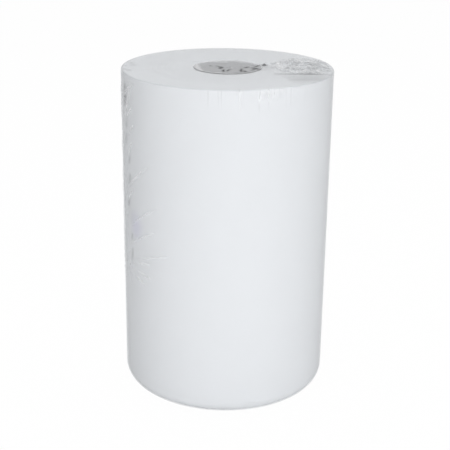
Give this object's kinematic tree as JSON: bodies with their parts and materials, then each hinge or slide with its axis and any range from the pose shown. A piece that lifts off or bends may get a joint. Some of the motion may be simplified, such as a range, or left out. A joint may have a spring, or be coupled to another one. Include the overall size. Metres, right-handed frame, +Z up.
{
  "type": "nonwoven wipe roll",
  "caption": "Coreless roll of white nonwoven wiping cloth standing on its end, sealed in clear shrink film with a bunched seal over the end and down the side.",
  "frame": {"origin": "middle of the foot, on the plane that the roll stands on", "axes": "+Z up along the roll's axis, -Y toward the viewer of the picture, the film's side seal toward -X"},
  "size_m": [0.2425, 0.2421, 0.3831],
  "materials": {
    "nonwoven": "matt white nonwoven cloth with fine fibres, wound in tight turns",
    "film": "clear glossy shrink film, gathered in fine pleats at the rims and creased along its seal"
  },
  "bodies": {
    "root": {"wipe_roll": "nonwoven", "shrink_film": "film"}
  },
  "joints": []
}
